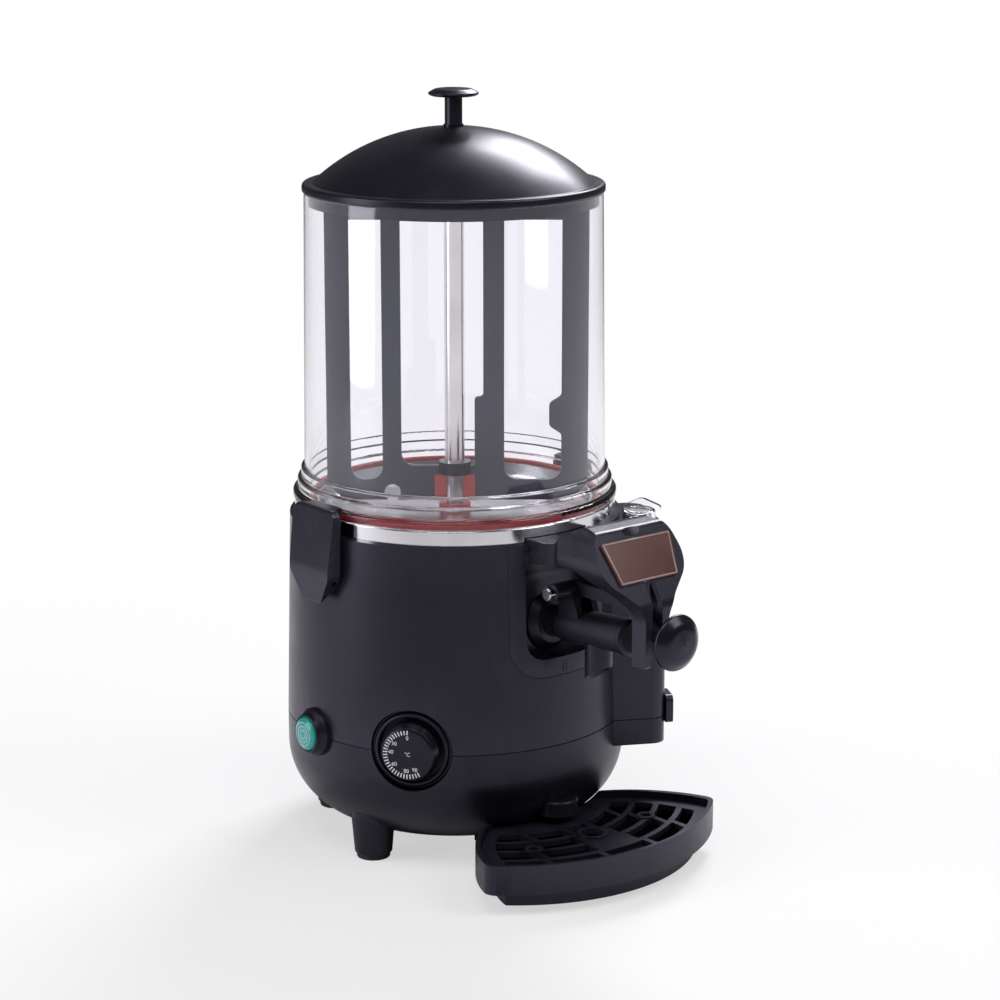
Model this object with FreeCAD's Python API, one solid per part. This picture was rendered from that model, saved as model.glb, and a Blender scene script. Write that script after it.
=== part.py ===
import FreeCAD, Part
import math
import os

V = FreeCAD.Vector
UP = V(0, 0, 1)
CENTRE = V(0, 0, 0)

# Frame: Z up, counter at Z 0, body axis on X 0 and Y 0, front towards -Y, operator's right is +X.
# An azimuth is counted from the front, positive towards +X.

# Gaps that every fit shares
running_gap = 0.05
loose_gap = 0.4

# Legs and base shell
foot_pad_thickness = 4.0
leg_radius = 15.3
leg_flare = 2.2
leg_socket_wall = 2.0
leg_circle_radius = 103.0
leg_azimuths = (-77.0, 77.0, -149.0, 149.0)
base_bottom_height = 15.0
base_foot_radius = 72.0
base_corner_radius = 56.0
base_corner_rise = 12.0
base_under_radius = 20.0
base_wall = 3.0
seam_height = 97.0
seam_radius = 131.3
seam_groove = 0.9
case_screw_radius = 2.5
bottom_cover_thickness = 2.0

# Upper shell
shell_top_radius = 127.4
shell_top_height = 254.3
shell_wall = 3.0

# Tank and rim band
band_height = 12.1
band_radius = 123.4
tank_radius = 106.0
tank_wall = 1.2
tank_depth = 98.0

# Jar
jar_foot_radius = 115.6
jar_top_radius = 112.9
jar_wall = 3.0
jar_flange_radius = 124.6
jar_flange_thickness = 7.0
jar_step_radius = 121.0
jar_step_height = 9.0
jar_bead_radius = 118.2
jar_bead_height = 7.5
jar_height = 234.0
gasket_section = 4.0

# Lid
lid_rim_radius = 114.4
lid_rim_height = 6.5
lid_dome_foot_radius = 106.5
lid_dome_rise = 41.5
lid_wall = 2.5
lid_skirt_depth = 9.0
lid_collar_radius = 7.6
knob_stem_radius = 6.6
knob_stem_height = 27.5
knob_radius = 20.0
knob_thickness = 6.5
knob_screw_radius = 2.5

# Product pan and the column in its middle
pan_floor_drop = 12.0
pan_wall = 1.2
pan_rim_radius = 110.0
column_radius = 6.2
column_wall = 1.0
column_height = 230.0
outlet_radius = 11.0
outlet_azimuth = 0.0
outlet_distance = 84.0

# Stirrer
stirrer_azimuth = 50.0
stirrer_thickness = 3.0
stirrer_tube_radius = 7.7
stirrer_tube_wall = 0.9
stirrer_collar_radius = 12.3
stirrer_collar_height = 9.5
blade_foot_height = 262.0
blade_window_rise = 26.0
blade_top_gap = 12.4
blade_bridge = 10.0
blade_chamfer = 13.0
blade_corner_radius = 10.0
blade_side_window_drop = 11.0
left_outer_bar = (-98.5, -80.0)
left_inner_bar = (-55.5, -41.0)
right_inner_bar = (22.0, 38.0)
right_outer_bar = (82.0, 102.5)
blade_step_height = 342.0
blade_step_inner = 15.3
blade_bump_low = 313.0
blade_bump_high = 343.0
blade_bump_reach = 9.5
blade_hole_radius = 6.2
blade_hole_place = (-48.0, 267.0)
scraper_half_width = 15.5
scraper_height = 19.0
scraper_thickness = 7.0
drive_shaft_radius = 3.5
drive_cap_radius = 10.5
drive_cap_height = 14.0

# Drive below the tank
motor_plate_height = 118.0
motor_plate_thickness = 2.0
motor_plate_length = 190.0
motor_plate_width = 70.0
gearbox_height = 26.0
gearbox_radius = 33.0
motor_radius = 30.0
motor_height = 48.0
motor_screw_radius = 2.0

# Latches
latch_azimuths = (-90.0, 90.0)
latch_width = 51.0
latch_low = 203.0
latch_high = 276.5
latch_face = 141.0
latch_wall = 3.0
latch_lean = 6.0
latch_pin_height = 221.0
latch_pin_radius = 2.5
latch_pin_setback = 8.5
latch_swing = 30.0
bracket_half_width = 16.0
bracket_ear_across = 7.4
bracket_ear_setback = 5.5
bracket_ear_half_height = 3.2
hook_reach = 19.2

# Thermostat dial
dial_azimuth = -54.0
dial_height = 99.0
dial_face = 139.5
dial_radius = 20.0
dial_rim_radius = 22.5
dial_depth = 9.0
dial_collar_radius = 31.5
dial_collar_inner = 25.5
dial_spindle_radius = 3.0

# Switch
switch_azimuth = -93.0
switch_height = 98.5
switch_face = 143.4
switch_button_radius = 12.6
switch_bezel_radius = 18.5
switch_travel = 2.5

# Tap
panel_half_width = 46.5
panel_inner_half_width = 36.5
panel_low = 150.5
panel_inner_low = 161.5
panel_corner_radius = 27.0
panel_inner_corner_radius = 19.0
panel_thickness = 2.0
panel_mark_gap = 1.6
panel_head = 4.3
tap_root_distance = 105.0
tap_root_height = 188.5
tap_tilt = 4.1
tap_seal_gap = 1.0
tap_length = 100.0
tap_root_radius = 11.6
tap_barrel_radius = 13.4
tap_step_length = 27.0
piston_radius = 8.0
piston_length = 66.0
spout_distance = 167.0
spout_radius = 10.2
spout_wall = 1.8
spout_low = 153.0
spout_cut_angle = 35.0
pivot_distance = 142.0
pivot_rise = 31.5
pivot_boss_radius = 6.7
pivot_boss_reach = 24.0
pivot_pin_radius = 4.0
lever_thickness = 8.0
finger_radius = 3.0
finger_gap = 2.2

# Hood over the tap
hood_wall = 3.0
hood_half_width = 42.0
hood_top_rise = 90.5
hood_face_top_distance = 198.0
hood_face_height = 54.0
hood_neck_half_width = 31.0
hood_neck_length = 42.0
hood_roll_radius = 16.0
dimple_sphere = 40.0
dimple_depth = 1.65
dimple_rise = 2.0
hood_lean = 30.5
hood_back_depth = 19.0
stem_half_width = 11.0
stem_drop = 9.5
stem_depth = 15.0
slot_half_width = 5.0
slot_top_drop = 36.0
badge_top_width = 67.0
badge_bottom_width = 55.0
badge_height = 33.0
badge_thickness = 2.0
badge_top_distance_down = 10.4
lever_knob_radius = 22.0
lever_knob_thickness = 13.0
lever_knob_distance = 245.0
lever_knob_rise = 13.5

# Water box at the side
box_azimuth = 61.5
box_reach = 153.4
box_front_edge = 70.8
box_back_edge = -20.0
box_corner_radius = 12.0
box_low = 76.0
box_high = 246.4
box_wall = 2.5
filler_out = 134.0
filler_along = 49.0
filler_radius = 13.0
filler_neck_height = 5.0
filler_cap_height = 9.0
inlet_along = 55.0
inlet_width = 24.0
inlet_height = 22.0
inlet_depth = 5.5
inlet_rise = 14.5

# Drip tray
tray_front_distance = 221.0
tray_corner_distance = 175.0
tray_half_width = 113.5
tray_back_distance = 92.0
tray_rim_height = 39.0
tray_upper_depth = 22.5
tray_low = 4.5
tray_step_inset = 8.0
tray_shelf_thickness = 2.4
tray_shelf_half_width = 24.0
tray_shelf_reach = 170.0
tray_boss_radius = 15.5
tray_boss_distance = 122.0
tray_boss_height = 12.0
tray_wall = 2.5
tray_corner_radius = 10.0
grid_recess = 5.5
grid_thickness = 4.0
grid_edge = 7.0
grid_pitch = 18.5
grid_bar = 4.5
grid_row_walls = ((0.0, (22.0, 64.0)), (19.0, (59.0,)), (17.0, (50.0,)), (0.0, (11.0, 42.0)))
grid_ring_radius = 9.0
grid_ring_distance = 162.0
grid_hole_radius = 4.0
grid_hole_distance = 160.0
grid_hole_across = 56.0

# Heating parts under the tank
heater_circle_radius = 58.0
heater_rod_radius = 4.0
heater_height_above_tank = 10.0

jar_foot_height = shell_top_height + band_height
pivot_height = tap_root_height + pivot_rise
hood_top_height = tap_root_height + hood_top_rise
hood_face_low_height = hood_top_height - hood_face_height
stem_low_height = tap_root_height - stem_drop
slot_top_height = hood_top_height - slot_top_drop
lever_knob_height = tap_root_height + lever_knob_rise
inlet_low = box_low + inlet_rise
shell_draft = (seam_radius - shell_top_radius) / (shell_top_height - seam_height)
jar_top_height = jar_foot_height + jar_height
pan_floor_height = jar_foot_height - pan_floor_drop
blade_window_height = blade_foot_height + blade_window_rise
blade_top_height = jar_top_height - blade_top_gap


def shell_radius(height):
    """Outer radius of the upper shell at a height."""
    return seam_radius - shell_draft * (height - seam_height)


def corner_path(points, place):
    """Closed wire through (u, v) corners; a third number rounds that corner."""
    edges = []
    starts = []
    ends = []
    count = len(points)
    for index in range(count):
        here = points[index]
        before = points[index - 1]
        after = points[(index + 1) % count]
        radius = here[2] if len(here) > 2 else 0
        corner = V(here[0], here[1], 0)
        to_before = V(before[0], before[1], 0).sub(corner)
        to_after = V(after[0], after[1], 0).sub(corner)
        to_before.normalize()
        to_after.normalize()
        if not radius:
            starts.append(corner)
            ends.append(corner)
            continue
        half = to_before.getAngle(to_after) / 2
        reach = radius / math.tan(half)
        first = corner.add(to_before.multiply(reach))
        last = corner.add(to_after.multiply(reach))
        middle_way = first.add(last).multiply(0.5).sub(corner)
        middle_way.normalize()
        middle = corner.add(middle_way.multiply(radius / math.sin(half) - radius))
        starts.append(first)
        ends.append(last)
        edges.append((index, Part.Arc(place(first), place(middle), place(last)).toShape()))
    arcs = dict(edges)
    ordered = []
    for index in range(count):
        if index in arcs:
            ordered.append(arcs[index])
        start = ends[index]
        stop = starts[(index + 1) % count]
        if start.distanceToPoint(stop) > 1e-6:
            ordered.append(Part.makeLine(place(start), place(stop)))
    return Part.Wire(ordered)


def spin(points, axis=UP):
    """Solid turned about the Z axis from (radius, height) corners."""
    wire = corner_path(points, lambda p: V(p.x, 0, p.y))
    return Part.Face(wire).revolve(CENTRE, axis, 360)


def slab(points, low, high):
    """Solid raised in Z from (x, y) corners."""
    wire = corner_path(points, lambda p: V(p.x, p.y, low))
    return Part.Face(wire).extrude(V(0, 0, high - low))


def side_slab(points, half_width):
    """Solid from (x, z) corners, both ways along Y."""
    wire = corner_path(points, lambda p: V(p.x, -half_width, p.y))
    return Part.Face(wire).extrude(V(0, 2 * half_width, 0))


def front_slab(points, start, stop):
    """Solid from (y, z) corners, along X from start to stop."""
    wire = corner_path(points, lambda p: V(start, p.x, p.y))
    return Part.Face(wire).extrude(V(stop - start, 0, 0))


def upright(radius, low, high, x=0.0, y=0.0):
    return Part.makeCylinder(radius, high - low, V(x, y, low), UP)


def outward_rod(radius, start, stop, height=0.0, y=0.0):
    return Part.makeCylinder(radius, stop - start, V(start, y, height), V(1, 0, 0))


def cross_rod(radius, left, right, x, height):
    return Part.makeCylinder(radius, right - left, V(x, left, height), V(0, 1, 0))


def outward_turn(points, height=0.0):
    """Solid turned about the X axis from (x, radius) corners."""
    wire = corner_path(points, lambda p: V(p.x, 0, p.y))
    solid = Part.Face(wire).revolve(CENTRE, V(1, 0, 0), 360)
    solid.translate(V(0, 0, height))
    return solid


def at_azimuth(shape, azimuth):
    """Turn a shape built along +X so that it points to an azimuth."""
    turned = shape.copy()
    turned.rotate(CENTRE, UP, azimuth - 90)
    return turned


def ring(inner, outer, low, high):
    return upright(outer, low, high).cut(upright(inner, low, high))


def block(x0, x1, y0, y1, z0, z1):
    return Part.makeBox(x1 - x0, y1 - y0, z1 - z0, V(x0, y0, z0))


# Vessel

def make_jar():
    foot = jar_foot_height
    step = foot + jar_flange_thickness
    bead = step + jar_step_height
    inside_foot = jar_foot_radius - jar_wall
    inside_top = jar_top_radius - jar_wall
    return spin([
        (inside_foot, foot),
        (jar_flange_radius, foot, 2.0),
        (jar_flange_radius, step, 2.5),
        (jar_step_radius, step, 1.5),
        (jar_step_radius, bead, 2.0),
        (jar_bead_radius, bead, 1.0),
        (jar_bead_radius, bead + jar_bead_height, 1.2),
        (jar_foot_radius, bead + jar_bead_height, 0.8),
        (jar_top_radius, jar_top_height, 0.8),
        (inside_top, jar_top_height, 0.8),
    ])


def make_jar_gasket():
    outer = jar_foot_radius - jar_wall - loose_gap
    return spin([
        (outer - gasket_section, jar_foot_height, 1.0),
        (outer, jar_foot_height),
        (outer, jar_foot_height + gasket_section, 1.0),
        (outer - gasket_section, jar_foot_height + gasket_section, 1.0),
    ])


def make_tank_band():
    low = shell_top_height
    return spin([
        (tank_radius + tank_wall, low),
        (band_radius, low),
        (band_radius, low + band_height - 1.0, 0.8),
        (band_radius - 1.0, low + band_height),
        (tank_radius + tank_wall, low + band_height),
    ])


def make_water_tank():
    low = shell_top_height + band_height - tank_depth
    high = shell_top_height + band_height - pan_floor_drop - pan_wall - loose_gap
    tank = spin([
        (0, low),
        (tank_radius + tank_wall - loose_gap, low, 14.0),
        (tank_radius + tank_wall - loose_gap, high),
        (tank_radius - loose_gap, high),
        (tank_radius - loose_gap, low + tank_wall, 12.8),
        (0, low + tank_wall),
    ])
    tank = tank.cut(upright(drive_shaft_radius + loose_gap, low - 1, low + tank_wall + 1))
    port = tap_root_radius + loose_gap
    return tank.cut(at_azimuth(outward_rod(port, outlet_distance, 128, tap_root_height), 0))


def make_product_pan():
    floor = pan_floor_height
    rim = jar_foot_height
    pan = spin([
        (column_radius + running_gap, floor - pan_wall),
        (tank_radius - loose_gap, floor - pan_wall),
        (tank_radius - loose_gap, rim, 0.0),
        (pan_rim_radius - 4.0, rim),
        (pan_rim_radius - 4.0, rim + pan_wall),
        (tank_radius - loose_gap - pan_wall, rim + pan_wall),
        (tank_radius - loose_gap - pan_wall, floor, 5.0),
        (column_radius + running_gap, floor),
    ])
    hole = upright(outlet_radius, floor - pan_wall - 1, floor + 1, outlet_distance)
    return pan.cut(at_azimuth(hole, outlet_azimuth))


def make_outlet_elbow():
    wall = 1.2
    low = tap_root_height - outlet_radius - wall
    outer = upright(outlet_radius + wall, low, pan_floor_height - pan_wall, outlet_distance)
    stop = tap_root_distance - tap_seal_gap
    outer = outer.fuse(outward_rod(tap_root_radius, outlet_distance, stop, tap_root_height))
    bore = upright(outlet_radius, low + wall, pan_floor_height, outlet_distance)
    bore = bore.fuse(outward_rod(piston_radius, outlet_distance, tap_root_distance + 1, tap_root_height))
    return at_azimuth(outer.cut(bore), outlet_azimuth)


def make_column_tube():
    low = jar_foot_height - tank_depth + tank_wall
    tube = ring(column_radius - column_wall, column_radius, low, pan_floor_height + column_height)
    foot = ring(drive_shaft_radius + loose_gap, column_radius + 8, low, low + 3)
    return tube.fuse(foot)


def make_column_seal():
    return ring(column_radius + running_gap, column_radius + 6, pan_floor_height, pan_floor_height + 5)


# Lid

def make_lid():
    low = jar_top_height
    rim = low + lid_rim_height
    rise = lid_dome_rise
    foot = lid_dome_foot_radius
    sphere = (foot * foot + rise * rise) / (2 * rise)
    top = Part.makeSphere(sphere, V(0, 0, rim + rise - sphere))
    under = Part.makeSphere(sphere - lid_wall, V(0, 0, rim + rise - sphere))
    reach = foot + 25
    above = Part.makeBox(2 * reach, 2 * reach, rise + 50, V(-reach, -reach, rim - lid_wall))
    dome = top.cut(under).common(above)
    inside = jar_top_radius - jar_wall - loose_gap
    flange = spin([
        (foot - 8, rim - lid_wall),
        (inside - lid_wall, rim - lid_wall),
        (inside - lid_wall, low - lid_skirt_depth),
        (inside, low - lid_skirt_depth),
        (inside, low),
        (lid_rim_radius, low, 1.5),
        (lid_rim_radius, rim, 2.5),
        (foot - 2, rim),
        (foot - 8, rim + 2.0),
    ])
    hollow = under.common(above)
    flange = flange.cut(hollow)
    collar = upright(lid_collar_radius, rim + rise - 4, rim + rise + 1.5)
    lid = dome.fuse([flange, collar]).removeSplitter()
    return lid.cut(upright(knob_screw_radius + running_gap, rim, rim + rise + 5))


def make_lid_knob():
    foot = jar_top_height + lid_rim_height + lid_dome_rise + 1.5
    cap = foot + knob_stem_height - knob_thickness
    knob = spin([
        (0, foot),
        (knob_stem_radius, foot),
        (knob_stem_radius, cap, 1.5),
        (knob_radius - 3, cap, 3.0),
        (knob_radius, cap + 2.0, 1.2),
        (knob_radius - 6, cap + knob_thickness - 1.2, 6.0),
        (0, cap + knob_thickness),
    ])
    return knob.cut(upright(knob_screw_radius, foot - 1, foot + 10))


def make_lid_knob_screw():
    apex = jar_top_height + lid_rim_height + lid_dome_rise
    head = upright(knob_screw_radius * 2, apex - 6.5, apex - 4)
    return head.fuse(upright(knob_screw_radius, apex - 4, apex + 11))


# Stirrer, built across X and turned to its azimuth

def make_stirrer_tube():
    low = pan_floor_height + 8
    high = pan_floor_height + column_height + 8
    return ring(stirrer_tube_radius - stirrer_tube_wall, stirrer_tube_radius, low, high)


def make_stirrer_collar(bore=stirrer_tube_radius):
    low = blade_foot_height + scraper_height + 1
    collar = upright(stirrer_collar_radius, low, low + stirrer_collar_height)
    return collar.cut(upright(bore, low - 1, low + 20)) if bore else collar


def make_stirrer_paddles():
    """Flat blade with rounded windows, cut free round the tube, its collar and the scrapers."""
    foot = blade_foot_height
    window = blade_window_height
    side_window = window - blade_side_window_drop
    top = blade_top_height
    under = top - blade_bridge
    half = stirrer_thickness / 2
    left = left_outer_bar[0]
    right = right_outer_bar[1]
    blade = side_slab([
        (left, foot + blade_chamfer, 3.0),
        (left, top),
        (right, top),
        (right, foot + blade_chamfer, 3.0),
        (right - blade_chamfer, foot, 3.0),
        (left + blade_chamfer, foot, 3.0),
    ], half)
    left_window = side_slab([
        (left_outer_bar[1], side_window, blade_corner_radius),
        (left_outer_bar[1], under),
        (left_inner_bar[0], under),
        (left_inner_bar[0], side_window, blade_corner_radius),
    ], 2 * half)
    middle_window = side_slab([
        (left_inner_bar[1], window, blade_corner_radius),
        (left_inner_bar[1], under),
        (right_inner_bar[0], under),
        (right_inner_bar[0], blade_step_height, 3.0),
        (blade_step_inner, blade_step_height, 3.0),
        (blade_step_inner, window),
    ], 2 * half)
    bump = right_outer_bar[0] - blade_bump_reach
    right_window = side_slab([
        (right_inner_bar[1], side_window, blade_corner_radius),
        (right_inner_bar[1], under),
        (right_outer_bar[0], under),
        (right_outer_bar[0], blade_bump_high, 4.0),
        (bump, blade_bump_high - 6, 5.0),
        (bump, blade_bump_low + 6, 5.0),
        (right_outer_bar[0], blade_bump_low, 4.0),
        (right_outer_bar[0], side_window, blade_corner_radius),
    ], 2 * half)
    hole = cross_rod(blade_hole_radius, -2 * half, 2 * half, *blade_hole_place)
    hub = upright(stirrer_tube_radius, foot - 1, top + 1)
    scraper_room = block(-scraper_half_width, scraper_half_width, -half - 1, half + 1,
                         foot - 1, foot + scraper_height)
    return blade.cut([left_window, middle_window, right_window, hole, hub, scraper_room,
                      make_stirrer_collar(0)])


def make_stirrer_scrapers():
    low = blade_foot_height
    body = block(-scraper_half_width, scraper_half_width, -scraper_thickness / 2, scraper_thickness / 2,
                 low, low + scraper_height)
    return body.cut(upright(stirrer_tube_radius, low - 1, low + scraper_height + 1))


def make_drive_shaft():
    low = motor_plate_height + motor_plate_thickness + 2
    return upright(drive_shaft_radius, low, pan_floor_height + column_height + 6)


def make_drive_cap():
    low = pan_floor_height + column_height + 8
    cap = spin([
        (0, low),
        (drive_cap_radius, low, 1.0),
        (drive_cap_radius, low + drive_cap_height, 4.0),
        (0, low + drive_cap_height),
    ])
    return cap


# Drive

def make_shaft_coupling():
    high = motor_plate_height + motor_plate_thickness + 22
    low = motor_plate_height + motor_plate_thickness + 2
    return ring(drive_shaft_radius, drive_shaft_radius + 5, low, high)


def make_motor_plate():
    half = motor_plate_length / 2
    width = motor_plate_width / 2
    low = motor_plate_height
    plate = slab([(-half, -width, 8), (half, -width, 8), (half, width, 8), (-half, width, 8)],
                 low, low + motor_plate_thickness)
    plate = plate.cut(upright(drive_shaft_radius + 7, low - 1, low + 5))
    for x in (-1, 1):
        for y in (-1, 1):
            hole = upright(motor_screw_radius, low - 1, low + 5, x * (half - 10), y * (width - 12))
            plate = plate.cut(hole)
    return plate


def make_motor_plate_posts():
    posts = []
    half = motor_plate_length / 2
    width = motor_plate_width / 2
    for x in (-1, 1):
        for y in (-1, 1):
            posts.append(ring(motor_screw_radius, 5.0, motor_plate_height + motor_plate_thickness,
                              shell_top_height + band_height - tank_depth - 4))
            posts[-1].translate(V(x * (half - 10), y * (width - 12), 0))
    return Part.makeCompound(posts)


def make_motor_screws():
    screws = []
    half = motor_plate_length / 2
    width = motor_plate_width / 2
    for x in (-1, 1):
        for y in (-1, 1):
            low = motor_plate_height
            place = (x * (half - 10), y * (width - 12))
            head = upright(2 * motor_screw_radius, low - 2.5, low, *place)
            shank = upright(motor_screw_radius - running_gap, low, low + 12, *place)
            screws.append(head.fuse(shank))
    return Part.makeCompound(screws)


def make_gearbox():
    high = motor_plate_height
    return spin([
        (0, high - gearbox_height),
        (gearbox_radius, high - gearbox_height, 3.0),
        (gearbox_radius, high),
        (0, high),
    ])


def make_motor_case():
    high = motor_plate_height - gearbox_height
    return spin([
        (0, high - motor_height),
        (motor_radius, high - motor_height, 4.0),
        (motor_radius, high),
        (0, high),
    ])


# Case

def shell_section(offset, low, high):
    return spin([
        (0, low),
        (shell_radius(low) - offset, low),
        (shell_radius(high) - offset, high),
        (0, high),
    ])


def box_outline(offset):
    inner = 90.0
    radius = box_corner_radius - offset
    return [
        (inner, -box_back_edge - offset),
        (box_reach - offset, -box_back_edge - offset, radius),
        (box_reach - offset, -box_front_edge + offset, radius),
        (inner, -box_front_edge + offset),
    ]


def box_solid(offset, low, high):
    """The side box turned to its azimuth; its front edge lies on the smaller azimuths."""
    return at_azimuth(slab(box_outline(offset), low, high), box_azimuth)


def bracket_ear(side, gap):
    """One ear of a latch bracket, or the slot that it passes through."""
    centre = side * bracket_ear_across
    return block(shell_top_radius - 8, latch_face - bracket_ear_setback,
                 centre - 1.5 - gap, centre + 1.5 + gap,
                 latch_pin_height - bracket_ear_half_height - gap,
                 latch_pin_height + bracket_ear_half_height + gap)


def dial_bore(radius):
    return at_azimuth(outward_rod(radius, 90, 160, dial_height), dial_azimuth)


def switch_bore(radius):
    return at_azimuth(outward_rod(radius, 90, 160, switch_height), switch_azimuth)


def panel_outline(half_width, low, radius, high):
    return [(-half_width, low, radius), (half_width, low, radius), (half_width, high), (-half_width, high)]


def make_upper_shell():
    low = seam_height
    high = shell_top_height
    outer = shell_section(0, low, high)
    outer = outer.fuse(box_solid(0, low, box_high).cut(shell_section(1.0, low, box_high)))
    inner = shell_section(shell_wall, low - 1, high - shell_wall)
    inner = inner.fuse(box_solid(box_wall, low - 1, box_high - box_wall))
    shell = outer.cut(inner)
    shell = shell.cut(upright(tank_radius + tank_wall + loose_gap, high - shell_wall - 1, high + 1))
    for bore in (dial_bore(dial_collar_radius), switch_bore(switch_bezel_radius)):
        shell = shell.cut(bore)
    panel = at_azimuth(front_slab(panel_outline(panel_inner_half_width, panel_inner_low,
                                                panel_inner_corner_radius, high - panel_head),
                                  100, 150), 0)
    groove = at_azimuth(front_slab(panel_outline(panel_half_width, panel_low, panel_corner_radius,
                                                 high + 1), 100, 150), 0)
    groove = groove.cut(shell_section(panel_thickness, low, high + 1))
    shell = shell.cut([panel, groove])
    for azimuth in latch_azimuths:
        shell = shell.cut([at_azimuth(bracket_ear(side, running_gap), azimuth) for side in (-1, 1)])
    neck_hole = upright(filler_radius - 3, box_high - box_wall - 1, box_high + 1, filler_out, -filler_along)
    return shell.cut(at_azimuth(neck_hole, box_azimuth))


def make_base_shell():
    low = base_bottom_height
    high = seam_height
    wall = base_wall
    solid = spin([
        (0, low),
        (base_foot_radius, low, base_under_radius),
        (seam_radius, low + base_corner_rise, base_corner_radius),
        (seam_radius, high),
        (0, high),
    ])
    solid = solid.fuse(box_solid(0, box_low, high))
    inner = spin([
        (0, low + wall),
        (base_foot_radius, low + wall, base_under_radius),
        (seam_radius - wall, low + base_corner_rise, base_corner_radius),
        (seam_radius - wall, high + 1),
        (0, high + 1),
    ])
    inner = inner.fuse(box_solid(box_wall, box_low + box_wall, high + 1))
    shell = solid.cut(inner)
    bosses = []
    socket_radius = leg_radius + leg_flare + leg_socket_wall
    for azimuth in leg_azimuths:
        boss = at_azimuth(upright(socket_radius, low, low + 40, leg_circle_radius), azimuth)
        bosses.append(boss.common(solid))
    shell = shell.fuse(bosses)
    for azimuth in leg_azimuths:
        pocket = upright(leg_radius + leg_flare, 0, low + 24, leg_circle_radius)
        hole = upright(case_screw_radius, 0, low + 45, leg_circle_radius)
        shell = shell.cut(at_azimuth(pocket.fuse(hole), azimuth))
    shell = shell.cut(upright(motor_radius + 6, low - 1, low + wall + 1))
    for bore in (dial_bore(dial_collar_radius), switch_bore(switch_bezel_radius)):
        shell = shell.cut(bore)
    kept = upright(seam_radius - seam_groove, high - 5, high + 5)
    kept = kept.fuse(box_solid(seam_groove, high - 5, high + 5))
    groove = upright(2 * seam_radius, high - seam_groove, high + 1).cut(kept)
    return shell.cut(groove).removeSplitter()


def make_bottom_cover():
    low = base_bottom_height - bottom_cover_thickness
    cover = upright(motor_radius + 16, low, base_bottom_height)
    for turn in range(12):
        slot = slab([(14, -2, 1.9), (30, -2, 1.9), (30, 2, 1.9), (14, 2, 1.9)], low - 1, low + 4)
        slot.rotate(CENTRE, UP, 30 * turn)
        cover = cover.cut(slot)
    return cover


def make_legs():
    legs = []
    for azimuth in leg_azimuths:
        leg = spin([
            (case_screw_radius, foot_pad_thickness),
            (leg_radius - 1.0, foot_pad_thickness, 1.0),
            (leg_radius + leg_flare - 0.2, base_bottom_height + 24),
            (case_screw_radius, base_bottom_height + 24),
        ])
        leg.translate(V(leg_circle_radius, 0, 0))
        legs.append(at_azimuth(leg, azimuth))
    return Part.makeCompound(legs)


def make_foot_pads():
    pads = []
    for azimuth in leg_azimuths:
        pad = spin([
            (0, 0),
            (leg_radius - 2.5, 0, 1.0),
            (leg_radius - 2.5, foot_pad_thickness),
            (0, foot_pad_thickness),
        ])
        pad.translate(V(leg_circle_radius, 0, 0))
        pads.append(at_azimuth(pad, azimuth))
    return Part.makeCompound(pads)


def make_leg_screws():
    screws = []
    for azimuth in leg_azimuths:
        shank = upright(case_screw_radius - running_gap, foot_pad_thickness, base_bottom_height + 38,
                        leg_circle_radius)
        screws.append(at_azimuth(shank, azimuth))
    return Part.makeCompound(screws)


# Latches, built along +X

def make_latch(azimuth):
    half = latch_width / 2
    face = latch_face
    wall = latch_wall
    low = latch_low
    high = latch_high
    plate = front_slab([
        (-half, high, 8.0),
        (-half + 2, latch_pin_height + 4, 10.0),
        (-10, low, 9.0),
        (10, low, 9.0),
        (half - 2, latch_pin_height + 4, 10.0),
        (half, high, 8.0),
    ], face - 12.5, face)
    side = side_slab([
        (face - 12, low),
        (face - 3, low, 2.5),
        (face, latch_pin_height + 8, 30.0),
        (face - latch_lean, high, 3.0),
        (face - 12, high),
    ], half + 1)
    cover = plate.common(side)
    room = side_slab([
        (face - 13, low - 1),
        (face - wall - 3, low - 1),
        (face - wall - 0.5, latch_pin_height - 8, 10.0),
        (face - wall - 0.5, latch_pin_height + 8, 30.0),
        (face - wall - 0.5 - latch_lean, high, 3.0),
        (face - 13, high),
    ], half + 1)
    hollow = front_slab([
        (-half + wall, high - wall, 6.0),
        (-half + 2 + wall, latch_pin_height + 4, 8.0),
        (-9, low + wall, 7.0),
        (9, low + wall, 7.0),
        (half - 2 - wall, latch_pin_height + 4, 8.0),
        (half - wall, high - wall, 6.0),
    ], face - 13, face).common(room)
    cover = cover.cut(hollow)
    hook_low = jar_foot_height + jar_flange_thickness + loose_gap
    hook = block(face - hook_reach, face - latch_lean - 1, -half + 8, half - 8, hook_low, hook_low + 2.4)
    ears = []
    for side_sign in (-1, 1):
        centre = side_sign * (bracket_half_width - 4.5)
        ears.append(block(face - 12, face - 4, centre - 1.5, centre + 1.5, latch_pin_height - 4,
                          latch_pin_height + 4))
    latch = cover.fuse([hook] + ears)
    pin_out = face - latch_pin_setback
    latch = latch.cut(cross_rod(latch_pin_radius + running_gap, -half, half, pin_out, latch_pin_height))
    keep_out = shell_section(-loose_gap, latch_low - 30, shell_top_height)
    for step in range(1, 5):
        swept = keep_out.copy()
        swept.rotate(V(pin_out, 0, latch_pin_height), V(0, 1, 0), -latch_swing * step / 4)
        latch = latch.cut(swept)
    flange_room = upright(jar_flange_radius + loose_gap, shell_top_height,
                          jar_foot_height + jar_flange_thickness + loose_gap)
    jar_room = upright(jar_step_radius + loose_gap, jar_foot_height, high + 1)
    latch = at_azimuth(latch, azimuth)
    latch = latch.cut([keep_out, flange_room, jar_room])
    return max(latch.Solids, key=lambda solid: solid.Volume)


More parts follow.
